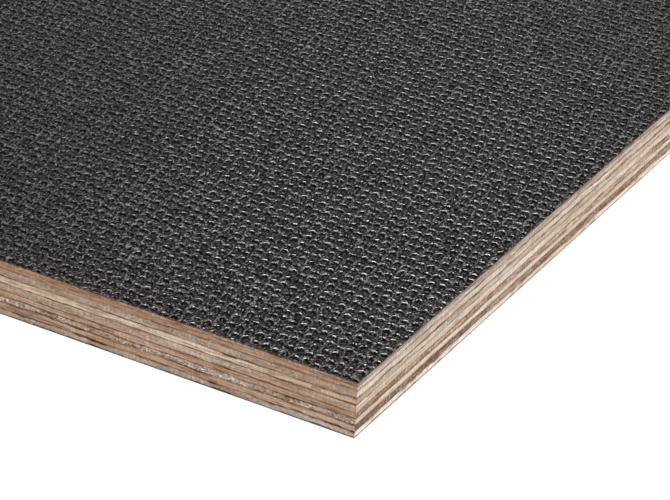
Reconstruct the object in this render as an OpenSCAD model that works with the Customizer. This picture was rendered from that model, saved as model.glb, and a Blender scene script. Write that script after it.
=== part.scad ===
// Anti-slip film-faced plywood sheet: nine crossed veneers between a wire-mesh film and a smooth film.
// Millimetres, +Z up. The origin is the centre of the underside, and +X runs along the face grain.

/* [Sheet] */
// Length of the sheet, along the grain of the face ply
sheet_length = 600; // [200:1:3000]
// Width of the sheet, across the grain of the face ply
sheet_width = 400; // [150:1:1525]

/* [Films] */
// Thickness of the patterned film, up to the crests of its mesh
mesh_film_thickness = 0.5; // [0.3:0.05:1]
// Thickness of the smooth film on the underside
back_film_thickness = 0.2; // [0.1:0.05:0.5]

/* [Long plies, grain along X] */
// Face ply, the thin first veneer under the patterned film
face_ply_thickness = 0.7; // [0.5:0.05:3]
// Third veneer from the top
core_ply_3_thickness = 2.0; // [0.5:0.05:3]
// Fifth veneer from the top, at the middle of the lay-up
core_ply_5_thickness = 2.0; // [0.5:0.05:3]
// Seventh veneer from the top
core_ply_7_thickness = 1.6; // [0.5:0.05:3]
// Back ply, the ninth veneer, on the smooth film
back_ply_thickness = 1.5; // [0.5:0.05:3]

/* [Cross plies, grain along Y] */
// Second veneer from the top
cross_ply_2_thickness = 1.4; // [0.5:0.05:3]
// Fourth veneer from the top
cross_ply_4_thickness = 1.7; // [0.5:0.05:3]
// Sixth veneer from the top
cross_ply_6_thickness = 1.6; // [0.5:0.05:3]
// Eighth veneer from the top
cross_ply_8_thickness = 1.8; // [0.5:0.05:3]

/* [Hidden] */

// The lay-up from the underside to the top, one thickness for each layer of NODES
lay_up = [
    back_film_thickness,
    back_ply_thickness, cross_ply_8_thickness, core_ply_7_thickness,
    cross_ply_6_thickness, core_ply_5_thickness, cross_ply_4_thickness,
    core_ply_3_thickness, cross_ply_2_thickness, face_ply_thickness,
    mesh_film_thickness
];

film_colour = [0.06, 0.05, 0.045];
long_colour = [0.80, 0.68, 0.52];
cross_colour = [0.58, 0.42, 0.28];

// Height of the underside of a layer: the sum of all the layers below it
function layer_base(layer) = layer <= 0 ? 0 : layer_base(layer - 1) + lay_up[layer - 1];

// The sawn outline that every layer shares
module sheet_outline() {
    square([sheet_length, sheet_width], center = true);
}

// One layer of the lay-up, pressed flat onto the one below
module pressed_layer(layer) {
    translate([0, 0, layer_base(layer)])
        linear_extrude(height = lay_up[layer])
            sheet_outline();
}

// Smooth phenolic film on the underside
module back_film() {
    color(film_colour) pressed_layer(0);
}

// Lowest veneer, with the grain along the sheet
module back_ply() {
    color(long_colour) pressed_layer(1);
}

// Lowest cross veneer
module cross_ply_8() {
    color(cross_colour) pressed_layer(2);
}

// Lowest long veneer of the core
module core_ply_7() {
    color(long_colour) pressed_layer(3);
}

// Cross veneer below the middle
module cross_ply_6() {
    color(cross_colour) pressed_layer(4);
}

// Long veneer at the middle
module core_ply_5() {
    color(long_colour) pressed_layer(5);
}

// Cross veneer above the middle
module cross_ply_4() {
    color(cross_colour) pressed_layer(6);
}

// Highest long veneer of the core
module core_ply_3() {
    color(long_colour) pressed_layer(7);
}

// Highest cross veneer
module cross_ply_2() {
    color(cross_colour) pressed_layer(8);
}

// Thin face veneer, with the grain along the sheet
module face_ply() {
    color(long_colour) pressed_layer(9);
}

// Patterned anti-slip film, as high as the crests of its mesh
module mesh_film() {
    color(film_colour) pressed_layer(10);
}

back_film();
back_ply();
cross_ply_8();
core_ply_7();
cross_ply_6();
core_ply_5();
cross_ply_4();
core_ply_3();
cross_ply_2();
face_ply();
mesh_film();
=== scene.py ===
"""Dresses the anti-slip film-faced plywood sheet.

The patterned film carries the marks of a woven wire mesh, nine crossed veneers show at the sawn edges
with dark glue lines between them, and a smooth film lies underneath. Shapes are in metres in the frame
of the solids, and the patterns of the surfaces are laid out in millimetres.
"""

import logging
import math
from dataclasses import dataclass
from enum import Enum
from typing import Any

import bmesh
import bpy
import numpy as np
from mathutils import Matrix, Vector, noise

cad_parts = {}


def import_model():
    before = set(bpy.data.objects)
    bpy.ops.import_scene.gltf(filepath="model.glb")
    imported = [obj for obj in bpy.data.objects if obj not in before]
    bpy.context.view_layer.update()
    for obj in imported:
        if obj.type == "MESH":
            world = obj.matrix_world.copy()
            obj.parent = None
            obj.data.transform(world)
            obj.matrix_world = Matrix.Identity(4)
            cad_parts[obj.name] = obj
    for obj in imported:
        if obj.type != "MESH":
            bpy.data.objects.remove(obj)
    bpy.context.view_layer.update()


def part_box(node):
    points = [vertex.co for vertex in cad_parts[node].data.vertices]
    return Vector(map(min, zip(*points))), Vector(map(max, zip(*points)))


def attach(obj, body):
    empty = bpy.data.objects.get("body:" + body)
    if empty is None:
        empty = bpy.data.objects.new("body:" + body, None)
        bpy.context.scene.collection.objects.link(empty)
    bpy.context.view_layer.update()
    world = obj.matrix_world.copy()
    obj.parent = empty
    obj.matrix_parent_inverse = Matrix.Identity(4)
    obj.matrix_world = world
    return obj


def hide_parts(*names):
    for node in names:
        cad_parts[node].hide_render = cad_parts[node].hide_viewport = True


Triple = tuple[float, float, float]
Colour = Triple
Pair = tuple[float, float]
Socket = bpy.types.NodeSocket

LOG = logging.getLogger("plywood_sheet")
MM = 0.001
ROOT_BODY = "root"
THREAD_UV = "thread"
END_GRAIN = "end_grain"
BELOW = "joint_below"
ABOVE = "joint_above"
# A face lies level where its normal's Z is past this, and stands upright otherwise
LEVEL = 0.5
WHITE = (1.0, 1.0, 1.0)
# Places of the factor, the two colours and the mixed colour among the sockets of the Mix node
MIX_FACTOR, MIX_FIRST, MIX_SECOND, MIX_RESULT = 0, 6, 7, 2


class Grain(Enum):
    """The way a veneer's fibres run in the sheet."""

    LONG = "long"
    CROSS = "cross"


@dataclass(frozen=True)
class Pattern:
    """A noise pattern: its features per millimetre along each axis, its window of values, its octaves."""

    scale: Triple
    window: Pair = (0.0, 1.0)
    detail: float = 1.0
    rough: float = 0.5


@dataclass(frozen=True)
class Stripe:
    """A stripe in every step of the wires: its middle as a share of the step, and its window of values."""

    centre: float
    window: Pair


# Patterns of the veneers, with the fibres along X

TONE_DRIFT = Pattern((0.02, 0.035, 0.5), (0.32, 0.68), detail=2.0)
DRIFT_LOWS = (0.90, 0.84, 0.77)
GROWTH_BANDS = Pattern((0.025, 0.05, 1.2), (0.40, 0.60))
FIBRE_LINES = Pattern((0.06, 0.9, 2.7), (0.44, 0.60), rough=0.6)
END_PORES = Pattern((0.5, 1.3, 1.7), (0.39, 0.62), rough=0.6)
END_BLOTCHES = Pattern((0.2, 0.11, 0.55), (0.38, 0.62), detail=2.0)
SAW_MARKS = Pattern((1.5, 1.5, 0.22), (0.34, 0.66), detail=0.0)
FIBRE_CELLS = (0.35, 1.9, 2.2)
VESSEL_WINDOW = (0.0, 0.42)
FLECK_WINDOW = (0.78, 0.96)
BAND_STREAKS = 0.28
LINE_STREAKS = 0.46
VESSEL_STREAKS = 0.55
PORE_HOLES = 0.26
BAND_HOLES = 0.24
SAW_STAIN = 0.26
SAW_DEPTH = 0.3
STREAK_DEPTH = 0.5
WOOD_ROUGHNESS = (0.66, 0.9)

# Patterns of the glue lines, whose distances are millimetres over the joint's share of resin

TEARS = Pattern((0.5, 0.7, 1.3), (0.48, 0.58), rough=0.6)
TEAR_FADE = 0.5
RAGS = Pattern((0.7, 0.7, 0.6), detail=2.0)
RAG_DEPTH = 0.12
RESIN_GAPES = Pattern((0.16, 0.16, 0.4), (0.46, 0.68))
RESIN_BREADTH = (0.152, 0.456)
RESIN_RUNS = Pattern((0.06, 0.06, 0.55), (0.38, 0.58), detail=2.0)
FAINTEST_RUN = 0.2
RESIN_BEADS = Pattern((0.32, 0.32, 0.5), (0.38, 0.60))
FAINTEST_BEAD = 0.45
RESIN_FADE = (0.5, 1.2)
STAIN_FADE = (0.5, 2.0)
STAIN_DEPTH = 0.6

# Patterns of the films

FILM_CLOUDS = Pattern((0.03, 0.03, 0.03), (0.35, 0.7), detail=3.0)
CLOUD_TONE = 0.08
FILM_PATCHES = Pattern((0.35, 0.35, 0.35), (0.35, 0.7), detail=3.0)
PATCH_TONE = 0.06
FILM_GRIT = Pattern((1.1, 1.75, 1.75), (0.32, 0.72), detail=0.0)
GRIT_TOP = 0.9
GRIT_CURVE = 1.8
# Pale flecks, partly painted sparkle
FILM_FLECKS = Pattern((1.35, 2.1, 2.1), (0.58, 0.73), detail=0.0)
# Glints break the crests' gloss coat and painted highlights into dashes
CREST_GLINTS = Pattern((1.25, 1.95, 1.95), (0.40, 0.55), detail=0.0)
RIM_RAGS = Pattern((1.1, 1.1, 1.1), (0.44, 0.62), detail=2.0, rough=0.65)

# Marks of the wires, in shares of the step from wire to wire: painted highlight stripes on the crests,
# painted shade in the pits and a painted highlight dot in each long pit

CREST_ROW = Stripe(0.57, (0.91, 0.975))
CREST_DASH = Stripe(0.08, (0.25, 0.75))
DASH_FLOOR = 0.22
CREST_COLUMN = Stripe(0.5, (0.90, 0.99))
COLUMN_SHARE = 0.2
PIT_ACROSS = Stripe(0.31, (0.62, 0.92))
PIT_ALONG = Stripe(0.0, (0.0, 0.35))
PIT_FLOOR = 0.25
DOT_ACROSS = Stripe(0.10, (0.80, 0.99))
DOT_ALONG = Stripe(0.0, (0.80, 0.99))
LONG_PIT_WINDOW = (0.0, 0.45)
MARK_WAVER = 0.12
WAVER_SCALE = 1.1
WAVER_DETAIL = 3.0


# Shader helpers


class Graph:
    """A node tree with short calls that add nodes and join them."""

    def __init__(self, tree: bpy.types.NodeTree) -> None:
        """Keeps the tree that the calls add to.

        Args:
            tree: A material's, a world's or a group's node tree.
        """
        self.tree = tree

    def add(self, kind: str, inputs: dict[Any, Any] | None = None, **settings: Any) -> bpy.types.Node:
        """Adds a node, sets its properties and fills or links its inputs.

        Args:
            kind: The node's type, such as "ShaderNodeMath".
            inputs: Values or sockets by the input's name or place.
            settings: Properties of the node itself.

        Returns:
            The new node.
        """
        made = self.tree.nodes.new(kind)
        for name, value in settings.items():
            setattr(made, name, value)
        for name, value in (inputs or {}).items():
            if isinstance(value, bpy.types.NodeSocket):
                self.join(value, made, name)
            else:
                made.inputs[name].default_value = value
        return made

    def join(self, source: Socket, node: bpy.types.Node, name: str | int) -> None:
        """Links a socket to a node's input."""
        self.tree.links.new(source, node.inputs[name])

    def math(self, operation: str, *values: Any, clamp: bool = False) -> Socket:
        """Adds a Math node.

        Args:
            operation: The operation's name, such as "MULTIPLY".
            values: Numbers or sockets, in order.
            clamp: Keeps the result between 0 and 1.

        Returns:
            The result.
        """
        made = self.add("ShaderNodeMath", dict(enumerate(values)), operation=operation, use_clamp=clamp)
        return made.outputs[0]

    def vector(self, operation: str, *values: Any) -> Socket:
        """Adds a Vector Math node.

        Args:
            operation: The operation's name, such as "MULTIPLY".
            values: Vectors or sockets, in order.

        Returns:
            The resulting vector.
        """
        made = self.add("ShaderNodeVectorMath", dict(enumerate(values)), operation=operation)
        return made.outputs[0]

    def weighed(self, *parts: tuple[Any, Any], clamp: bool = False) -> Socket:
        """Adds up values, each times its share.

        Args:
            parts: Each value with its share, none below 0.
            clamp: Keeps the sum between 0 and 1.

        Returns:
            The sum.
        """
        total: Any = 0.0
        for value, share in parts:
            total = self.math("MULTIPLY_ADD", value, share, total, clamp=clamp)
        return total

    def span(
        self, value: Any, low: float, high: float, to_low: float = 0.0, to_high: float = 1.0,
    ) -> Socket:
        """Maps a value smoothly from one range to another, held at both ends.

        Args:
            value: The socket to map.
            low: Where the result starts to leave to_low.
            high: Where the result reaches to_high.
            to_low: The result at and below low.
            to_high: The result at and above high.

        Returns:
            The mapped value.
        """
        places = {"Value": value, "From Min": low, "From Max": high, "To Min": to_low, "To Max": to_high}
        return self.add("ShaderNodeMapRange", places, interpolation_type="SMOOTHSTEP").outputs["Result"]

    def blend(self, factor: Any, first: Any, second: Any, mode: str = "MIX") -> Socket:
        """Mixes two colours.

        Args:
            factor: How much of the second shows.
            first: A colour or socket.
            second: A colour or socket.
            mode: The blend type.

        Returns:
            The mixed colour.
        """
        made = self.add("ShaderNodeMix", data_type="RGBA", blend_type=mode, clamp_factor=True)
        for place, value in ((MIX_FACTOR, factor), (MIX_FIRST, first), (MIX_SECOND, second)):
            if isinstance(value, bpy.types.NodeSocket):
                self.join(value, made, place)
            else:
                made.inputs[place].default_value = value if place == MIX_FACTOR else rgba(value)
        return made.outputs[MIX_RESULT]

    def cloud(self, at: Socket, pattern: Pattern) -> Socket:
        """Adds a noise pattern.

        Args:
            at: The position in millimetres.
            pattern: Its scale and octaves.

        Returns:
            The noise, around 0.5.
        """
        places = {
            "Vector": self.vector("MULTIPLY", at, pattern.scale),
            "Scale": 1.0,
            "Detail": pattern.detail,
            "Roughness": pattern.rough,
        }
        return self.add("ShaderNodeTexNoise", places).outputs["Fac"]

    def mask(self, at: Socket, pattern: Pattern, to_low: float = 0.0, to_high: float = 1.0) -> Socket:
        """Adds a noise pattern, mapped from its window.

        Args:
            at: The position in millimetres.
            pattern: The pattern.
            to_low: The result at and below the window.
            to_high: The result at and above the window.

        Returns:
            The mapped noise.
        """
        return self.span(self.cloud(at, pattern), *pattern.window, to_low, to_high)

    def cells(self, at: Socket, scale: Triple) -> Socket:
        """Adds small cells, each of one random value.

        Args:
            at: The position in millimetres.
            scale: Cells per millimetre along each axis.

        Returns:
            The value, evenly spread from 0 to 1.
        """
        places = {"Vector": self.vector("MULTIPLY", at, scale), "Scale": 1.0}
        made = self.add("ShaderNodeTexVoronoi", places)
        return self.add("ShaderNodeSeparateColor", {0: made.outputs["Color"]}).outputs[0]

    def stripe(self, value: Socket, stripe: Stripe, floor: float = 0.0) -> Socket:
        """Marks a stripe in each whole step of a value, by a bell curve from its middle.

        Args:
            value: A thread coordinate.
            stripe: The stripe.
            floor: The result away from the stripe.

        Returns:
            The mark, 1 inside the stripe.
        """
        turned = self.math("MULTIPLY", self.math("SUBTRACT", value, stripe.centre), math.pi)
        bell = self.math("POWER", self.math("COSINE", turned), 2.0)
        return self.span(bell, *stripe.window, floor)


def rgba(colour: Colour) -> tuple[float, float, float, float]:
    """Gives a colour its alpha."""
    return (*colour, 1.0)


def tinted(colour: Colour, factor: Colour) -> Colour:
    """Multiplies a colour by another, channel by channel."""
    return tuple(min(1.0, c * f) for c, f in zip(colour, factor))


def new_group(name: str, takes: dict[str, Any], gives: dict[str, str]) -> tuple[Graph, Any, bpy.types.Node]:
    """Starts a shader node group.

    Args:
        name: The group's name.
        takes: Input names and their defaults: a number, a colour, or None for a position.
        gives: Output names and their socket types.

    Returns:
        The graph, the sockets that the group takes in and the node that gives its results.
    """
    tree = bpy.data.node_groups.new(name, "ShaderNodeTree")
    for label, default in takes.items():
        if default is None:
            tree.interface.new_socket(label, in_out="INPUT", socket_type="NodeSocketVector")
        elif isinstance(default, tuple):
            made = tree.interface.new_socket(label, in_out="INPUT", socket_type="NodeSocketColor")
            made.default_value = rgba(default)
        else:
            made = tree.interface.new_socket(label, in_out="INPUT", socket_type="NodeSocketFloat")
            made.default_value = default
    for label, kind in gives.items():
        tree.interface.new_socket(label, in_out="OUTPUT", socket_type=kind)
    graph = Graph(tree)
    return graph, graph.add("NodeGroupInput").outputs, graph.add("NodeGroupOutput")


class Effects:
    """The shader node groups that the finishes share."""

    def __init__(self) -> None:
        """Builds each group once."""
        self.veneer = self._veneer_grain()
        self.glue = self._glue_line()
        self.mottle = self._film_mottle()
        self.marks = self._wire_marks()

    def _veneer_grain(self) -> bpy.types.NodeTree:
        """Builds peeled veneer as a solid pattern.

        Streaks run along the fibres. Pores, blotches, flecks and dark heartwood show where the fibres
        are cut across, and saw marks cross both.

        Returns:
            The group, which reads millimetres with the fibres along X.
        """
        takes = {"Vector": None}
        takes |= dict.fromkeys(("Fibre", "Streak", "End", "Pore", "Fleck"), WHITE)
        takes |= dict.fromkeys(("End Grain", "Streaks", "Flecks", "Pores", "Blotches", "Heart"), 0.0)
        gives = {"Colour": "NodeSocketColor", "Roughness": "NodeSocketFloat", "Height": "NodeSocketFloat"}
        g, take, give = new_group("Veneer grain", takes, gives)
        at = take["Vector"]
        bands = g.mask(at, GROWTH_BANDS)
        saw = g.mask(at, SAW_MARKS, 1.0, 0.0)
        fibres = g.cells(at, FIBRE_CELLS)
        vessels = g.span(fibres, *VESSEL_WINDOW, 1.0, 0.0)
        flecks = g.math("MULTIPLY", g.span(fibres, *FLECK_WINDOW), take["Flecks"])
        lines = g.mask(at, FIBRE_LINES)
        marks = g.weighed(
            (bands, BAND_STREAKS), (lines, LINE_STREAKS), (vessels, VESSEL_STREAKS), clamp=True,
        )
        marks = g.math("MULTIPLY", marks, take["Streaks"])
        along = g.blend(marks, take["Fibre"], take["Streak"])
        holes = g.weighed(
            (g.mask(at, END_PORES), PORE_HOLES), (bands, BAND_HOLES),
            (g.mask(at, END_BLOTCHES), take["Blotches"]), (take["Heart"], 1.0), (vessels, take["Pores"]),
            clamp=True,
        )
        across = g.blend(holes, take["End"], take["Pore"])
        across = g.blend(flecks, across, take["Fleck"])
        wood = g.blend(take["End Grain"], along, across)
        wood = g.blend(g.math("MULTIPLY", saw, SAW_STAIN), wood, take["Streak"])
        drift = g.mask(at, TONE_DRIFT)
        tones = {k: g.span(drift, 0.0, 1.0, low, 2.0 - low) for k, low in enumerate(DRIFT_LOWS)}
        tint = g.add("ShaderNodeCombineColor", tones).outputs[0]
        g.join(g.blend(1.0, wood, tint, "MULTIPLY"), give, "Colour")
        hollow = g.weighed((marks, STREAK_DEPTH), (holes, take["End Grain"]), (saw, SAW_DEPTH))
        g.join(g.math("SUBTRACT", 1.0, hollow), give, "Height")
        g.join(g.span(hollow, 0.0, 1.0, *WOOD_ROUGHNESS), give, "Roughness")
        return g.tree

    def _glue_line(self) -> bpy.types.NodeTree:
        """Builds the dark, broken resin where two veneers meet.

        Round the resin, the wood is stained, and the saw has torn fibres across it.

        Returns:
            The group, which reads millimetres and the distances to the joints below and above.
        """
        takes = {"Vector": None} | dict.fromkeys(("Below", "Above", "Strength"), 1.0)
        gives = dict.fromkeys(("Mask", "Stain", "Torn"), "NodeSocketFloat")
        g, take, give = new_group("Glue line", takes, gives)
        at = take["Vector"]
        near = g.math("MINIMUM", take["Below"], take["Above"])
        tear = g.math("MULTIPLY_ADD", near, -TEAR_FADE, g.cloud(at, TEARS))
        g.join(g.span(tear, *TEARS.window), give, "Torn")
        ragged = g.math("MULTIPLY_ADD", g.cloud(at, RAGS), 2 * RAG_DEPTH, -RAG_DEPTH)
        breadth = g.mask(at, RESIN_GAPES, *RESIN_BREADTH)
        reach = g.math("DIVIDE", g.math("ADD", near, ragged), breadth)
        strength = g.math("MULTIPLY", g.mask(at, RESIN_RUNS, FAINTEST_RUN), take["Strength"])
        beads = g.math("MULTIPLY", g.mask(at, RESIN_BEADS, FAINTEST_BEAD), strength)
        g.join(g.math("MULTIPLY", g.span(reach, *RESIN_FADE, 1.0, 0.0), beads), give, "Mask")
        g.join(g.math("MULTIPLY", g.span(reach, *STAIN_FADE, STAIN_DEPTH, 0.0), strength), give, "Stain")
        return g.tree

    def _film_mottle(self) -> bpy.types.NodeTree:
        """Builds the uneven tone and the fine grit of resin film, with masks for its pale flecks, which are
        partly painted sparkle, and for the glints that break up the crests' gloss and painted highlights.

        Returns:
            The group, which reads millimetres.
        """
        takes = {"Vector": None, "Dark": WHITE, "Warm": WHITE}
        gives = {"Colour": "NodeSocketColor"}
        gives |= dict.fromkeys(("Height", "Tone", "Glint", "Fleck"), "NodeSocketFloat")
        g, take, give = new_group("Film mottle", takes, gives)
        at = take["Vector"]
        grit = g.cloud(at, FILM_GRIT)
        speckle = g.math("POWER", g.span(grit, *FILM_GRIT.window, 0.0, GRIT_TOP), GRIT_CURVE)
        clouds = g.mask(at, FILM_CLOUDS)
        patches = g.mask(at, FILM_PATCHES)
        tone = g.weighed((clouds, CLOUD_TONE), (patches, PATCH_TONE), (speckle, 1.0))
        g.join(g.blend(tone, take["Dark"], take["Warm"]), give, "Colour")
        g.join(grit, give, "Height")
        g.join(tone, give, "Tone")
        g.join(g.mask(at, CREST_GLINTS), give, "Glint")
        g.join(g.mask(at, FILM_FLECKS), give, "Fleck")
        return g.tree

    def _wire_marks(self) -> bpy.types.NodeTree:
        """Builds the marks of the woven wires: rows of short crests that carry painted highlights, with
        painted shade in the pit before each and a painted highlight dot in each long pit.

        Returns:
            The group, which reads thread coordinates and millimetres.
        """
        takes = {"Thread": None, "Vector": None}
        gives = dict.fromkeys(("Crest", "Hollow", "Long Pit", "Dot", "Chance"), "NodeSocketFloat")
        g, take, give = new_group("Wire marks", takes, gives)
        half = (0.5, 0.5, 0.5)
        waver = {"Vector": take["Vector"], "Scale": WAVER_SCALE, "Detail": WAVER_DETAIL}
        shake = g.vector("SUBTRACT", g.add("ShaderNodeTexNoise", waver).outputs["Color"], half)
        shake = g.vector("MULTIPLY", shake, (MARK_WAVER, MARK_WAVER, MARK_WAVER))
        u, v, _ = g.add("ShaderNodeSeparateXYZ", {0: g.vector("ADD", take["Thread"], shake)}).outputs
        # Painted highlight stripes along the crests, one dash to a cell, and fainter ones along the columns
        rows = g.math("MULTIPLY", g.stripe(u, CREST_ROW), g.stripe(v, CREST_DASH, DASH_FLOOR))
        columns = g.math("MULTIPLY", g.stripe(v, CREST_COLUMN), COLUMN_SHARE)
        g.join(g.math("MAXIMUM", rows, columns), give, "Crest")
        # Painted shade in the pits, darkest along the steep far wall
        hollow = g.math("MULTIPLY", g.stripe(u, PIT_ACROSS), g.stripe(v, PIT_ALONG, PIT_FLOOR))
        g.join(hollow, give, "Hollow")
        waves = [g.math("COSINE", g.math("MULTIPLY", value, math.pi)) for value in (u, v)]
        long_pit = g.span(g.math("MULTIPLY", *waves), *LONG_PIT_WINDOW)
        g.join(long_pit, give, "Long Pit")
        # Painted highlight: a lighter dot in the middle of each long pit
        pit_highlight = g.math("MULTIPLY", g.stripe(u, DOT_ACROSS), g.stripe(v, DOT_ALONG))
        g.join(g.math("MULTIPLY", pit_highlight, long_pit), give, "Dot")
        crossing = g.vector("FLOOR", g.vector("ADD", take["Thread"], half))
        chance = g.add("ShaderNodeTexWhiteNoise", {"Vector": crossing}, noise_dimensions="2D")
        g.join(chance.outputs["Value"], give, "Chance")
        return g.tree


# Finishes


def new_material(name: str) -> tuple[bpy.types.Material, Graph, bpy.types.Node]:
    """Starts a material with one Principled shader.

    Args:
        name: The material's name.

    Returns:
        The material, its graph and the shader.
    """
    made = bpy.data.materials.new(name)
    made.use_nodes = True
    made.node_tree.nodes.clear()
    graph = Graph(made.node_tree)
    shader = graph.add("ShaderNodeBsdfPrincipled")
    graph.add("ShaderNodeOutputMaterial", {"Surface": shader.outputs["BSDF"]})
    return made, graph, shader


def in_mm(graph: Graph, turn: float = 0.0) -> Socket:
    """Gives the object position in millimetres, turned about Z.

    Args:
        graph: The material's graph.
        turn: The turn in radians.

    Returns:
        The position.
    """
    place = graph.add("ShaderNodeTexCoord").outputs["Object"]
    settings = {"Vector": place, "Rotation": (0.0, 0.0, turn), "Scale": (1 / MM, 1 / MM, 1 / MM)}
    return graph.add("ShaderNodeMapping", settings).outputs[0]


@dataclass(frozen=True)
class VeneerFinish:
    """Raw sawn veneer: its mean colours along the fibres and across them, and how marked they are.

    The tints (pale, streak and pore) multiply the mean colours. In a veneer with heartwood, the end grain
    goes from dark to plain over heart_run, in millimetres along the sheet.
    """

    name: str
    side: Colour
    end: Colour
    torn: Colour
    streaks: float = 0.9
    flecks: float = 0.35
    pores: float = 0.15
    blotches: float = 0.26
    heart: float = 0.0
    heart_run: Pair = (-300.0, -200.0)
    pale: Colour = (1.42, 1.47, 1.52)
    streak: Colour = (0.52, 0.45, 0.40)
    pore: Colour = (0.46, 0.39, 0.33)
    fleck: Colour = (0.78, 0.70, 0.62)
    glue: Colour = (0.050, 0.021, 0.009)
    stain: Colour = (0.60, 0.46, 0.36)
    glue_across: float = 1.0
    glue_along: float = 0.75
    torn_strength: float = 0.6
    relief: float = 0.05 * MM
    relief_strength: float = 0.6
    specular: float = 0.25

    def material(self, effects: Effects, grain: Grain) -> bpy.types.Material:
        """Builds the material for a veneer whose fibres run that way.

        Args:
            effects: The shared groups.
            grain: The way the fibres run.

        Returns:
            The material.
        """
        made, g, shader = new_material(f"{self.name}_{grain.value}")
        at = in_mm(g, 0.0 if grain is Grain.LONG else math.pi / 2)
        ends = g.add("ShaderNodeAttribute", attribute_name=END_GRAIN).outputs["Fac"]
        wood = self._wood(g, effects, at, ends)
        glue = self._glue(g, effects, at, ends, grain)
        torn = g.math("MULTIPLY", glue["Torn"], self.torn_strength)
        colour = g.blend(torn, wood["Colour"], self.torn)
        colour = g.blend(glue["Stain"], colour, self.stain, "MULTIPLY")
        colour = g.blend(glue["Mask"], colour, self.glue)
        relief = {"Height": wood["Height"], "Distance": self.relief, "Strength": self.relief_strength}
        g.join(colour, shader, "Base Color")
        g.join(wood["Roughness"], shader, "Roughness")
        g.join(g.add("ShaderNodeBump", relief).outputs["Normal"], shader, "Normal")
        shader.inputs["Specular IOR Level"].default_value = self.specular
        return made

    def _wood(self, g: Graph, effects: Effects, at: Socket, ends: Socket) -> Any:
        """Places the veneer's grain in a material.

        Args:
            g: The material's graph.
            effects: The shared groups.
            at: The position in millimetres, with the fibres along X.
            ends: 1 where the fibres are cut across.

        Returns:
            The sockets of the grain's results.
        """
        wood = g.add("ShaderNodeGroup", node_tree=effects.veneer)
        values = {
            "Fibre": rgba(tinted(self.side, self.pale)),
            "Streak": rgba(tinted(self.side, self.streak)),
            "End": rgba(tinted(self.end, self.pale)),
            "Pore": rgba(tinted(self.end, self.pore)),
            "Fleck": rgba(self.fleck),
            "Streaks": self.streaks,
            "Flecks": self.flecks,
            "Pores": self.pores,
            "Blotches": self.blotches,
        }
        for label, value in values.items():
            wood.inputs[label].default_value = value
        g.join(at, wood, "Vector")
        g.join(ends, wood, "End Grain")
        if self.heart:
            down_sheet = g.add("ShaderNodeSeparateXYZ", {0: at}).outputs["Y"]
            g.join(g.span(down_sheet, *self.heart_run, self.heart, 0.0), wood, "Heart")
        return wood.outputs

    def _glue(self, g: Graph, effects: Effects, at: Socket, ends: Socket, grain: Grain) -> Any:
        """Places the glue lines in a material.

        Args:
            g: The material's graph.
            effects: The shared groups.
            at: The position in millimetres, with the fibres along X.
            ends: 1 where the fibres are cut across.
            grain: The way the fibres run.

        Returns:
            The sockets of the glue's results.
        """
        glue = g.add("ShaderNodeGroup", node_tree=effects.glue)
        at_ends, at_sides = self.glue_across, self.glue_along
        if grain is Grain.CROSS:
            at_ends, at_sides = at_sides, at_ends
        strength = g.math("MULTIPLY_ADD", ends, at_ends - at_sides, at_sides)
        g.join(strength, glue, "Strength")
        g.join(at, glue, "Vector")
        for label, name in (("Below", BELOW), ("Above", ABOVE)):
            g.join(g.add("ShaderNodeAttribute", attribute_name=name).outputs["Fac"], glue, label)
        return glue.outputs


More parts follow.
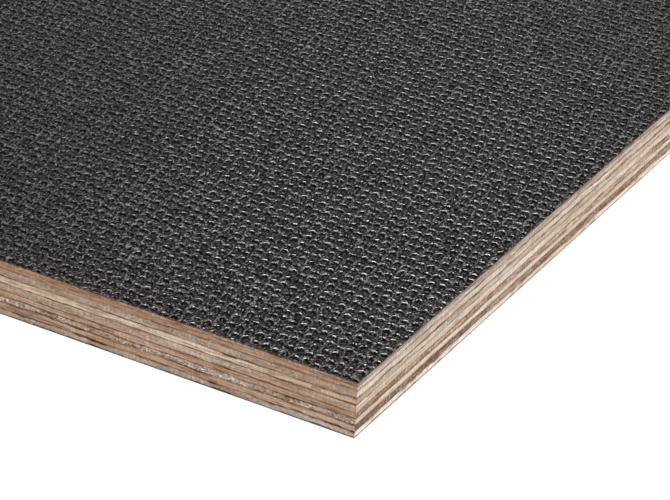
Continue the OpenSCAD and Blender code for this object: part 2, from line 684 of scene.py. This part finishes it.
@dataclass(frozen=True)
class FilmFinish:
    """Dark phenolic film, either pressed with the mesh or smooth."""

    name: str
    dark: Colour
    warm: Colour
    # The crest colour is a painted highlight on the crests
    crest: Colour = (0.16, 0.145, 0.145)
    # The hollow colour is painted shade in the pits
    hollow: Colour = (0.0012, 0.001, 0.001)
    # The dot colour is a painted highlight in the middle of each long pit
    pit_highlight: Colour = (0.07, 0.062, 0.062)
    # The fleck colour is for pale flecks, partly painted sparkle, which show less in the painted shade
    fleck: Colour = (0.40, 0.35, 0.35)
    flecks: float = 0.7
    pit_flecks: float = 0.28
    # How far the painted shade darkens the long pits
    gloom: float = 0.58
    # The least share of gloss and painted highlight that a crossing's crest gets
    least_shine: float = 0.8
    rough_low: float = 0.7
    rough_high: float = 0.9
    specular: float = 0.12
    polish: float = 0.2
    grit: float = 0.01 * MM

    def material(self, effects: Effects, pressed: bool) -> bpy.types.Material:
        """Builds the film's material.

        Args:
            effects: The shared groups.
            pressed: True where the surface carries the mesh and its thread coordinates.

        Returns:
            The material.
        """
        made, g, shader = new_material(self.name)
        at = in_mm(g)
        film = g.add("ShaderNodeGroup", node_tree=effects.mottle)
        film.inputs["Dark"].default_value = rgba(self.dark)
        film.inputs["Warm"].default_value = rgba(self.warm)
        g.join(at, film, "Vector")
        colour = film.outputs["Colour"]
        if pressed:
            colour = self._pressed(g, effects, at, film.outputs, shader)
        relief = {"Height": film.outputs["Height"], "Distance": self.grit, "Strength": 1.0}
        g.join(colour, shader, "Base Color")
        g.join(g.span(film.outputs["Tone"], 0.0, 1.0, self.rough_low, self.rough_high), shader, "Roughness")
        g.join(g.add("ShaderNodeBump", relief).outputs["Normal"], shader, "Normal")
        shader.inputs["Specular IOR Level"].default_value = self.specular
        return made

    def _pressed(
        self, g: Graph, effects: Effects, at: Socket, film: Any, shader: bpy.types.Node,
    ) -> Socket:
        """Adds the marks of the wires: painted shade in the pits, a painted highlight dot in each long pit,
        pale flecks that are partly painted sparkle, and crests with a gloss coat and a painted highlight.

        Args:
            g: The material's graph.
            effects: The shared groups.
            at: The position in millimetres.
            film: The sockets of the film's mottle.
            shader: The shader, whose coat the crests get.

        Returns:
            The marked colour.
        """
        node = g.add("ShaderNodeGroup", node_tree=effects.marks)
        g.join(g.add("ShaderNodeUVMap", uv_map=THREAD_UV).outputs["UV"], node, "Thread")
        g.join(at, node, "Vector")
        marks = node.outputs
        # The crests get a gloss coat and a painted highlight, varied per crossing and broken into dashes by
        # the glints
        gloss_and_highlight = g.math("MULTIPLY", marks["Crest"], g.span(marks["Chance"], 0.0, 1.0, self.least_shine, 1.0))
        gloss_and_highlight = g.math("MULTIPLY", gloss_and_highlight, film["Glint"])
        # Painted shade: the pits, and more faintly the long pits, are darkened towards the hollow colour
        shaded = g.math("MULTIPLY", marks["Long Pit"], self.gloom)
        shaded = g.math("MAXIMUM", marks["Hollow"], shaded)
        colour = g.blend(shaded, film["Colour"], self.hollow)
        # Painted highlight: a lighter dot lies in the middle of each long pit
        colour = g.blend(marks["Dot"], colour, self.pit_highlight)
        # The pale flecks, partly painted sparkle, show less in the painted shade
        lit = g.span(shaded, 0.0, 1.0, self.flecks, self.pit_flecks)
        colour = g.blend(g.math("MULTIPLY", film["Fleck"], lit), colour, self.fleck)
        g.join(gloss_and_highlight, shader, "Coat Weight")
        shader.inputs["Coat Roughness"].default_value = self.polish
        return g.blend(gloss_and_highlight, colour, self.crest)


@dataclass(frozen=True)
class SawnFilmFinish:
    """The sawn rim of the films: greyer than their faces, and ragged."""

    name: str = "sawn_film_rim"
    dark: Colour = (0.018, 0.013, 0.011)
    pale: Colour = (0.20, 0.148, 0.122)
    roughness: Pair = (0.55, 0.85)
    specular: float = 0.3

    def material(self) -> bpy.types.Material:
        """Builds the rim's material.

        Returns:
            The material.
        """
        made, g, shader = new_material(self.name)
        ragged = g.mask(in_mm(g), RIM_RAGS)
        g.join(g.blend(ragged, self.dark, self.pale), shader, "Base Color")
        g.join(g.span(ragged, 0.0, 1.0, *self.roughness), shader, "Roughness")
        shader.inputs["Specular IOR Level"].default_value = self.specular
        return made


# Mesh helpers


def add_piece(name: str, bm: bmesh.types.BMesh, materials: list[bpy.types.Material]) -> bpy.types.Object:
    """Turns a bmesh into an object at the origin and frees it.

    Args:
        name: The piece's name.
        bm: The shape, in metres in the sheet's frame.
        materials: Its materials, in the order of their indices.

    Returns:
        The object.
    """
    mesh = bpy.data.meshes.new(name)
    bm.to_mesh(mesh)
    bm.free()
    for item in materials:
        mesh.materials.append(item)
    piece = bpy.data.objects.new(name, mesh)
    bpy.context.scene.collection.objects.link(piece)
    return piece


def seat(piece: bpy.types.Object, node: str) -> None:
    """Fixes a piece to the sheet and hides the solid that it stands for.

    Args:
        piece: The piece.
        node: The CAD node that it replaces.
    """
    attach(piece, ROOT_BODY)
    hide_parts(node)


def scatter(index: np.ndarray, seed: float) -> np.ndarray:
    """Gives a fixed random number from -0.5 to 0.5 for each whole number, as digits of a fast sine wave.

    Args:
        index: Whole numbers.
        seed: Sets which series is drawn.

    Returns:
        The numbers.
    """
    stride, seed_stride, height = 12.9898, 78.233, 43758.5453
    return np.mod(np.sin(index * stride + seed * seed_stride) * height, 1.0) - 0.5


def ripple(place: np.ndarray, slow: Pair, quick: Pair) -> np.ndarray:
    """Gives the sum of two sine waves, the quick one half as high.

    Args:
        place: Where, in metres.
        slow: The slow wave's radians per metre and its phase.
        quick: The quick wave's radians per metre and its phase.

    Returns:
        The sum.
    """
    return np.sin(place * slow[0] + slow[1]) + 0.5 * np.sin(place * quick[0] + quick[1])


# Sub-assemblies


@dataclass
class MeshFilm:
    """The patterned film, with the marks that a plain-woven wire mesh leaves in it.

    The wires cross in a slanted lattice. At each crossing one wire pressed deeper, by turns the one
    along the sheet and the one across it, so long and wide pits alternate between wavy ridges. Places
    on it are thread coordinates, whole numbers where wires run.

    Attributes:
        box: The lowest and highest corner of the film's solid.
        bands: How many pieces it is built in.
        pitch_long, pitch_cross: The two steps of the lattice.
        depth: The depth of the deepest pits.
        groove: The share of that depth that the wires leave between crossings.
        lines_long, lines_cross: Where the lines of points lie, in shares of a step.
        land, foot: Where the flat crest ends and the pit is deepest, in shares of a step.
        creases: Which of lines_long are sharp.
        swing_long, swing_cross, scallop: How far ridges swing and bulge, in shares of a step.
        unevenness: How much shallower the shallowest pit is, as a share of its depth.
        jitter: How far wires lie off their places, in shares of a step.
        wander: How far the lattice drifts.
        ripples_long, ripples_cross: The waves of that drift, in radians per metre with their phases.
        wire_seeds, pit_seed, row_stride: Set which random numbers the wires and pits get.
        margin: How many steps the surface reaches past its limits before it is sawn off.
        saw_tolerance: How near the saw's plane a point counts as on it.
    """

    box: tuple[Vector, Vector]
    bands: int = 5
    pitch_long: Pair = (3.30 * MM, 0.63 * MM)
    pitch_cross: Pair = (0.20 * MM, 2.72 * MM)
    depth: float = 0.37 * MM
    groove: float = 0.30
    lines_long: tuple[float, ...] = (0.0, 0.25, 0.5, 0.64)
    land: float = 0.14
    foot: float = 0.75
    creases: tuple[int, ...] = (1, 2, 3)
    lines_cross: tuple[float, ...] = (0.0, 0.28, 0.5, 0.72)
    swing_long: float = 0.11
    swing_cross: float = 0.11
    scallop: float = 0.36
    unevenness: float = 0.18
    jitter: float = 0.07
    wander: float = 0.30 * MM
    ripples_long: tuple[Pair, Pair] = ((52, 0.7), (131, 2.0))
    ripples_cross: tuple[Pair, Pair] = ((47, 1.9), (113, 0.3))
    wire_seeds: Pair = (1.0, 2.0)
    pit_seed: float = 4.0
    row_stride: int = 57
    margin: int = 1
    saw_tolerance: float = 1e-7

    def build(self, face: bpy.types.Material, rim: bpy.types.Material) -> list[bpy.types.Object]:
        """Builds the film in bands side by side, each a closed shell.

        Args:
            face: The finish of the pressed face.
            rim: The finish of the sawn rim.

        Returns:
            The bands.
        """
        low, high = self.box
        cuts = np.linspace(low.x, high.x, self.bands + 1)
        made = []
        for k in range(self.bands):
            bm = self._pressed_sheet(cuts[k], cuts[k + 1])
            self._trim(bm, cuts[k], cuts[k + 1])
            self._close(bm)
            piece = add_piece(f"mesh_film_band_{k + 1}", bm, [face, rim])
            seat(piece, "mesh_film")
            made.append(piece)
        return made

    def _pressed_sheet(self, left: float, right: float) -> bmesh.types.BMesh:
        """Makes the pressed surface over one band, a little past its limits.

        Args:
            left: The band's lowest X.
            right: The band's highest X.

        Returns:
            The surface, with the thread coordinates as a UV map.
        """
        low, high = self.box
        basis = np.array([self.pitch_long, self.pitch_cross]).T
        corners = np.array([(x, y) for x in (left, right) for y in (low.y, high.y)])
        reach = corners @ np.linalg.inv(basis).T
        first = np.floor(reach.min(0)).astype(int) - self.margin
        cells = np.ceil(reach.max(0)).astype(int) + self.margin - first
        lines = (np.array(self.lines_long), np.array(self.lines_cross))
        steps = np.array([len(item) for item in lines])
        across, up = (cells * steps).tolist()
        bm = bmesh.new()
        bmesh.ops.create_grid(bm, x_segments=across, y_segments=up, size=0.5)
        mesh = bpy.data.meshes.new("pressed_sheet")
        bm.to_mesh(mesh)
        bm.free()
        flat = np.empty(len(mesh.vertices) * 3, np.float32)
        mesh.vertices.foreach_get("co", flat)
        index = np.rint((flat.reshape(-1, 3)[:, :2] + 0.5) * cells * steps).astype(int)
        cell, line = np.divmod(index, steps)
        thread = first + cell + np.column_stack([lines[axis][line[:, axis]] for axis in (0, 1)])
        mesh.vertices.foreach_set("co", self._pressed(thread, basis).astype(np.float32).ravel())
        self._crease(mesh, line[:, 0])
        of_loop = np.empty(len(mesh.loops), np.int32)
        mesh.loops.foreach_get("vertex_index", of_loop)
        layer = mesh.uv_layers.new(name=THREAD_UV)
        layer.data.foreach_set("uv", thread[of_loop].astype(np.float32).ravel())
        bm = bmesh.new()
        bm.from_mesh(mesh)
        bpy.data.meshes.remove(mesh)
        return bm

    def _pressed(self, thread: np.ndarray, basis: np.ndarray) -> np.ndarray:
        """Places points of the surface from their thread coordinates.

        Args:
            thread: Thread coordinates, whole numbers where wires run.
            basis: The lattice's two steps, as columns.

        Returns:
            The points in metres.
        """
        sine, cosine = np.sin(np.pi * thread).T, np.cos(np.pi * thread).T
        mean_arc = 2 / np.pi
        bent = thread.astype(float)
        bent[:, 0] += self.swing_long * sine[0] * cosine[1] + self.scallop * (np.abs(cosine[1]) - mean_arc)
        bent[:, 1] -= self.swing_cross * cosine[0] * sine[1]
        for axis, seed in enumerate(self.wire_seeds):
            whole = np.floor(thread[:, axis])
            part = thread[:, axis] - whole
            drift = scatter(whole, seed) * (1 - part) + scatter(whole + 1, seed) * part
            bent[:, axis] += self.jitter * drift
        place = bent @ basis.T
        place[:, 0] += self.wander * ripple(place[:, 1], *self.ripples_long)
        place[:, 1] += self.wander * ripple(place[:, 0], *self.ripples_cross)
        nearest = np.rint(thread)
        lot = scatter(nearest[:, 0] + self.row_stride * nearest[:, 1], self.pit_seed)
        uneven = 1 - self.unevenness * (0.5 + lot)
        along = np.mod(thread[:, 0] + 0.5, 1.0)
        sink = np.clip((along - self.land) / (self.foot - self.land), 0, 1)
        climb = np.clip((along - self.foot) / (1 - self.foot), 0, 1)
        under_long = np.sin(np.pi / 2 * sink) ** 2 * np.cos(np.pi / 2 * climb) ** 2
        under_cross = cosine[1] ** 2
        both = 0.5 * (under_long + under_cross)
        pit = (1 - self.groove) * under_long * under_cross + self.groove * both
        return np.column_stack([place, self.box[1].z - self.depth * uneven * pit])

    def _crease(self, mesh: bpy.types.Mesh, line: np.ndarray) -> None:
        """Marks the edges that run along the ridges' rims as sharp.

        Args:
            mesh: The surface.
            line: Which of lines_long each vertex lies on.
        """
        ends = np.empty(len(mesh.edges) * 2, np.int32)
        mesh.edges.foreach_get("vertices", ends)
        start, end = line[ends.reshape(-1, 2)].T
        sharp = (start == end) & np.isin(start, self.creases)
        mesh.attributes.new("sharp_edge", "BOOLEAN", "EDGE").data.foreach_set("value", sharp)

    def _trim(self, bm: bmesh.types.BMesh, left: float, right: float) -> None:
        """Saws the surface off at the band's limits and the sheet's edges.

        Args:
            bm: The surface.
            left: The band's lowest X.
            right: The band's highest X.
        """
        low, high = self.box
        planes = (
            ((left, 0, 0), (-1, 0, 0)),
            ((right, 0, 0), (1, 0, 0)),
            ((0, low.y, 0), (0, -1, 0)),
            ((0, high.y, 0), (0, 1, 0)),
        )
        for point, normal in planes:
            bmesh.ops.bisect_plane(
                bm, geom=bm.verts[:] + bm.edges[:] + bm.faces[:], dist=self.saw_tolerance,
                plane_co=point, plane_no=normal, clear_outer=True,
            )

    def _close(self, bm: bmesh.types.BMesh) -> None:
        """Gives the surface its rim and underside.

        Args:
            bm: The trimmed surface.
        """
        for face in bm.faces:
            face.smooth = True
        border = [e for e in bm.edges if e.is_boundary]
        made = bmesh.ops.extrude_edge_only(bm, edges=border)["geom"]
        for vert in (item for item in made if isinstance(item, bmesh.types.BMVert)):
            vert.co.z = self.box[0].z
        for face in (item for item in made if isinstance(item, bmesh.types.BMFace)):
            face.material_index = 1
            face.smooth = False
        for edge in border:
            edge.smooth = False
        under = [e for e in bm.edges if e.is_boundary]
        for face in bmesh.ops.contextual_create(bm, geom=under)["faces"]:
            face.material_index = 1
            face.smooth = False
        bmesh.ops.recalc_face_normals(bm, faces=bm.faces[:])


@dataclass(frozen=True)
class Ply:
    """One veneer of the lay-up: its solid, the way its fibres run and its finish."""

    node: str
    grain: Grain
    finish: VeneerFinish


@dataclass
class Veneers:
    """The crossed veneers, whose joints wave a little along the sawn edges.

    Each joint has a share of resin, from the bottom to the top. The places in the noise keep the waves
    of the joints, and the recesses of the veneers, apart from one another.
    """

    plies: list[Ply]
    step: float = 2.2 * MM
    wave: float = 0.13 * MM
    wave_length: float = 19 * MM
    fine_wave: float = 0.5
    fine_waves: float = 3.3
    wave_place: float = 7.3
    ease: float = 0.04 * MM
    recess: float = 0.05 * MM
    recess_place: Triple = (3.7, 0.4, 1.1)
    resin: tuple[float, ...] = (0.8, 1.35, 1.1, 1.0, 0.72, 0.66, 1.3, 0.9, 0.6, 0.5)

    def __post_init__(self) -> None:
        """Reads the flat heights of the joints from the solids, from the bottom to the top."""
        self.levels = [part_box(ply.node)[0].z for ply in self.plies] + [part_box(self.plies[-1].node)[1].z]

    def build(self, effects: Effects) -> list[bpy.types.Object]:
        """Builds the veneers from the bottom to the top.

        Args:
            effects: The shared shader groups.

        Returns:
            The veneers.
        """
        made = []
        for place, ply in enumerate(self.plies):
            bm = self._slab(place, ply)
            piece = add_piece(f"{ply.node}_veneer", bm, [ply.finish.material(effects, ply.grain)])
            seat(piece, ply.node)
            made.append(piece)
        return made

    def joint(self, place: int, x: float, y: float) -> float:
        """Gives the height of the joint under a veneer.

        Args:
            place: The veneer's place from the bottom; one past the last gives the top of the lay-up.
            x: Where along the sheet.
            y: Where across the sheet.

        Returns:
            The height in metres.
        """
        base = self.levels[place]
        if place in (0, len(self.plies)):
            return base
        at = Vector((x / self.wave_length, y / self.wave_length, self.wave_place * place))
        return base + self.wave * (noise.noise(at) + self.fine_wave * noise.noise(at * self.fine_waves))

    def _slab(self, place: int, ply: Ply) -> bmesh.types.BMesh:
        """Makes one veneer: a sawn outline raised between its two joints, its rims eased.

        Args:
            place: The veneer's place from the bottom.
            ply: The veneer.

        Returns:
            The slab, with its grain and joint distances as attributes.
        """
        low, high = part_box(ply.node)
        size = high - low
        walk, *row = self.recess_place
        inset = self.recess * (0.5 + 0.5 * noise.noise(Vector((place * walk, *row))))
        bm = bmesh.new()
        bmesh.ops.create_grid(bm, x_segments=1, y_segments=1, size=0.5)
        bmesh.ops.scale(bm, vec=(size.x - 2 * inset, size.y - 2 * inset, 1.0), verts=bm.verts[:])
        for edge in bm.edges[:]:
            cuts = round(edge.calc_length() / self.step) - 1
            bmesh.ops.bisect_edges(bm, edges=[edge], cuts=cuts, edge_percents={})
        raised = bmesh.ops.extrude_face_region(bm, geom=bm.faces[:])["geom"]
        upper = {item for item in raised if isinstance(item, bmesh.types.BMVert)}
        for vert in bm.verts:
            vert.co.z = self.joint(place + (vert in upper), vert.co.x, vert.co.y)
        bmesh.ops.recalc_face_normals(bm, faces=bm.faces[:])
        rims = [e for e in bm.edges if any(abs(f.normal.z) > LEVEL for f in e.link_faces)]
        bmesh.ops.bevel(
            bm, geom=rims, offset=self.ease, offset_type="OFFSET", affect="EDGES",
            segments=1, profile=0.5, material=-1,
        )
        self._mark(bm, place, ply)
        return bm

    def _mark(self, bm: bmesh.types.BMesh, place: int, ply: Ply) -> None:
        """Writes where the fibres are cut across, and how far each point is from its joints.

        The distances are millimetres divided by the joint's share of resin, so a joint with more of it
        shows a broader line.

        Args:
            bm: The slab.
            place: The veneer's place from the bottom.
            ply: The veneer.
        """
        ends = bm.faces.layers.float.new(END_GRAIN)
        below = bm.verts.layers.float.new(BELOW)
        above = bm.verts.layers.float.new(ABOVE)
        for vert in bm.verts:
            x, y, z = vert.co
            vert[below] = (z - self.joint(place, x, y)) / MM / self.resin[place]
            vert[above] = (self.joint(place + 1, x, y) - z) / MM / self.resin[place + 1]
        for face in bm.faces:
            along = face.normal.x if ply.grain is Grain.LONG else face.normal.y
            face[ends] = min(1.0, abs(along))


@dataclass
class BackFilm:
    """The smooth film under the sheet."""

    node: str = "back_film"
    ease: float = 0.05 * MM

    def build(self, face: bpy.types.Material, rim: bpy.types.Material) -> bpy.types.Object:
        """Builds the film with its lower rim eased.

        Args:
            face: The finish of the smooth face.
            rim: The finish of the sawn rim.

        Returns:
            The film.
        """
        low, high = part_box(self.node)
        middle = (low + high) / 2
        bm = bmesh.new()
        bmesh.ops.create_cube(bm, size=1.0)
        bmesh.ops.scale(bm, vec=high - low, verts=bm.verts[:])
        bmesh.ops.translate(bm, vec=middle, verts=bm.verts[:])
        for item in bm.faces:
            item.material_index = int(abs(item.normal.z) < LEVEL)
        rims = [e for e in bm.edges if all(v.co.z < middle.z for v in e.verts)]
        bmesh.ops.bevel(
            bm, geom=rims, offset=self.ease, offset_type="OFFSET", affect="EDGES",
            segments=2, profile=0.5, material=-1,
        )
        piece = add_piece("back_film_sheet", bm, [face, rim])
        seat(piece, self.node)
        return piece


@dataclass(frozen=True)
class Lamp:
    """A far, soft lamp: where it stands, in degrees, its strength and how broad it looks, in degrees."""

    name: str
    azimuth: float
    elevation: float
    strength: float
    spread: float


@dataclass
class Studio:
    """The pale floor, the soft lamps and the camera at the photograph's angle.

    Angles are in degrees. The camera aims at a place beside the sheet's near top corner.
    """

    corner: Vector
    lamps: tuple[Lamp, ...]
    frame_width: int = 670
    azimuth: float = -62.5
    elevation: float = 28.87
    roll: float = 4.0
    focal_px: float = 3303.6
    distance: float = 0.743
    aim: Triple = (9.16 * MM, 13.0 * MM, 25.63 * MM)
    sensor: float = 36.0
    nearest: float = 0.01
    floor_size: float = 60.0
    floor_colour: Colour = (0.93, 0.93, 0.93)
    floor_lift: float = 0.18
    world_level: float = 0.04

    def build(self) -> None:
        """Sets the stage, the lamps and the camera."""
        scene = bpy.context.scene
        scene.view_settings.view_transform = "Standard"
        self._floor()
        self._world()
        for lamp in self.lamps:
            self._hang(lamp)
        scene.camera = self._camera()

    def direction(self, azimuth: float, elevation: float) -> Vector:
        """Gives the way from the sheet towards a place in the studio.

        Args:
            azimuth: 0 is on the -Y side and 90 on the +X side, in degrees.
            elevation: Above the floor, in degrees.

        Returns:
            The unit direction.
        """
        a, e = math.radians(azimuth), math.radians(elevation)
        return Vector((math.sin(a) * math.cos(e), -math.cos(a) * math.cos(e), math.sin(e)))

    def _floor(self) -> None:
        """Lays the pale floor, which looks white behind the sheet and still keeps its shadow."""
        bm = bmesh.new()
        bmesh.ops.create_grid(bm, x_segments=1, y_segments=1, size=self.floor_size / 2)
        made, g, shader = new_material("pale_floor")
        shader.inputs["Base Color"].default_value = rgba(self.floor_colour)
        shader.inputs["Roughness"].default_value = 1.0
        shader.inputs["Specular IOR Level"].default_value = 0.0
        shader.inputs["Emission Color"].default_value = rgba(WHITE)
        path = g.add("ShaderNodeLightPath").outputs
        seen = g.math("MAXIMUM", path["Is Camera Ray"], path["Is Glossy Ray"])
        seen = g.math("MAXIMUM", seen, path["Is Transmission Ray"])
        g.join(g.math("MULTIPLY", seen, self.floor_lift), shader, "Emission Strength")
        add_piece("floor", bm, [made])

    def _world(self) -> None:
        """Sets the even light of the room."""
        world = bpy.data.worlds.new("studio_room")
        bpy.context.scene.world = world
        world.use_nodes = True
        world.node_tree.nodes.clear()
        g = Graph(world.node_tree)
        light = {"Color": rgba(WHITE), "Strength": self.world_level}
        g.add("ShaderNodeOutputWorld", {"Surface": g.add("ShaderNodeBackground", light).outputs[0]})

    def _hang(self, lamp: Lamp) -> None:
        """Hangs a lamp and turns it to the sheet.

        Args:
            lamp: The lamp.
        """
        data = bpy.data.lights.new(f"{lamp.name}_lamp", "SUN")
        data.energy = lamp.strength
        data.angle = math.radians(lamp.spread)
        made = bpy.data.objects.new(data.name, data)
        bpy.context.scene.collection.objects.link(made)
        towards = self.direction(lamp.azimuth, lamp.elevation)
        made.rotation_euler = towards.to_track_quat("Z", "Y").to_euler()

    def _camera(self) -> bpy.types.Object:
        """Sets the camera at the photograph's angle.

        Returns:
            The camera.
        """
        data = bpy.data.cameras.new("photo_camera")
        data.sensor_width = self.sensor
        data.lens = self.focal_px * self.sensor / self.frame_width
        data.clip_start = self.nearest
        camera = bpy.data.objects.new(data.name, data)
        bpy.context.scene.collection.objects.link(camera)
        back = self.direction(self.azimuth, self.elevation)
        turn = back.to_track_quat("Z", "Y").to_matrix() @ Matrix.Rotation(math.radians(self.roll), 3, "Z")
        stand = self.corner + Vector(self.aim) + back * self.distance
        camera.matrix_world = Matrix.Translation(stand) @ turn.to_4x4()
        return camera


# This sheet's finishes, lay-up and lamps

PALE_CHIP = (0.62, 0.49, 0.38)
BROWN_CHIP = (0.40, 0.27, 0.18)
GREY_FACE = VeneerFinish(
    "grey_face", side=(0.41, 0.34, 0.30), end=(0.37, 0.255, 0.195), torn=PALE_CHIP, torn_strength=0.3,
)
ORANGE_CROSS = VeneerFinish(
    "orange_cross", side=(0.425, 0.252, 0.155), end=(0.539, 0.4375, 0.367), torn=PALE_CHIP, blotches=0.25,
    glue_across=0.4, glue_along=1.0,
)
TAN_CORE = VeneerFinish(
    "tan_core", side=(0.575, 0.455, 0.36), end=(0.42, 0.305, 0.225), torn=BROWN_CHIP,
    streaks=0.6, glue_across=0.75, glue_along=1.0,
)
PALE_CORE = VeneerFinish(
    "pale_core", side=(0.59, 0.47, 0.375), end=(0.495, 0.36, 0.268), torn=BROWN_CHIP, streaks=0.6,
)
BLOND_CROSS = VeneerFinish(
    "blond_cross", side=(0.62, 0.465, 0.337), end=(0.526, 0.435, 0.358), torn=PALE_CHIP, blotches=0.25,
)
TAN_CROSS = VeneerFinish(
    "tan_cross", side=(0.45, 0.295, 0.195), end=(0.575, 0.424, 0.313), torn=PALE_CHIP,
    blotches=0.6, pores=0.4, heart=0.5, heart_run=(-300.0, -215.0),
)
SPECKLED_CORE = VeneerFinish(
    "speckled_core", side=(0.62, 0.505, 0.415), end=(0.43, 0.325, 0.265), torn=BROWN_CHIP,
    streaks=0.6, flecks=0.9, pores=0.7,
)
BROWN_CROSS = VeneerFinish(
    "brown_cross", side=(0.475, 0.315, 0.21), end=(0.36, 0.243, 0.162), torn=PALE_CHIP,
    blotches=0.55, pores=0.45, heart=0.42, heart_run=(-300.0, -205.0), glue_across=1.2,
)
PALE_BACK = VeneerFinish(
    "pale_back", side=(0.70, 0.585, 0.495), end=(0.405, 0.306, 0.248), torn=PALE_CHIP,
    streaks=0.45, glue_across=1.2,
)
MESH_FACE = FilmFinish("mesh_film_face", dark=(0.004, 0.003, 0.003), warm=(0.092, 0.067, 0.068))
SMOOTH_FACE = FilmFinish(
    "smooth_film_face", dark=(0.020, 0.013, 0.010), warm=(0.042, 0.024, 0.016),
    rough_low=0.32, rough_high=0.45, specular=0.4,
)
LAY_UP = [
    Ply("back_ply", Grain.LONG, PALE_BACK),
    Ply("cross_ply_8", Grain.CROSS, BROWN_CROSS),
    Ply("core_ply_7", Grain.LONG, SPECKLED_CORE),
    Ply("cross_ply_6", Grain.CROSS, TAN_CROSS),
    Ply("core_ply_5", Grain.LONG, PALE_CORE),
    Ply("cross_ply_4", Grain.CROSS, BLOND_CROSS),
    Ply("core_ply_3", Grain.LONG, TAN_CORE),
    Ply("cross_ply_2", Grain.CROSS, ORANGE_CROSS),
    Ply("face_ply", Grain.LONG, GREY_FACE),
]
# A broad key, a fill, a weak lamp beside the camera, and a low one opposite that the crests mirror
LAMPS = (
    Lamp("key", azimuth=-18.0, elevation=48.0, strength=2.7, spread=30.0),
    Lamp("fill", azimuth=-110.0, elevation=40.0, strength=0.75, spread=40.0),
    Lamp("front", azimuth=-62.5, elevation=32.0, strength=0.2, spread=10.0),
    Lamp("back", azimuth=114.8, elevation=32.0, strength=0.325, spread=10.0),
)


def main() -> None:
    """Builds the sheet's pieces in order and logs their triangles, then builds the studio."""
    logging.basicConfig(level=logging.INFO, format="%(name)s: %(message)s")
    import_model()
    effects = Effects()
    rim = SawnFilmFinish().material()
    film_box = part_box("mesh_film")
    pieces = [
        *MeshFilm(film_box).build(MESH_FACE.material(effects, pressed=True), rim),
        *Veneers(LAY_UP).build(effects),
        BackFilm().build(SMOOTH_FACE.material(effects, pressed=False), rim),
    ]
    for piece in pieces:
        piece.data.calc_loop_triangles()
        LOG.info("%s: %d triangles", piece.name, len(piece.data.loop_triangles))
    near_corner = Vector((film_box[0].x, film_box[0].y, film_box[1].z))
    Studio(near_corner, LAMPS).build()


if __name__ == "__main__":
    main()
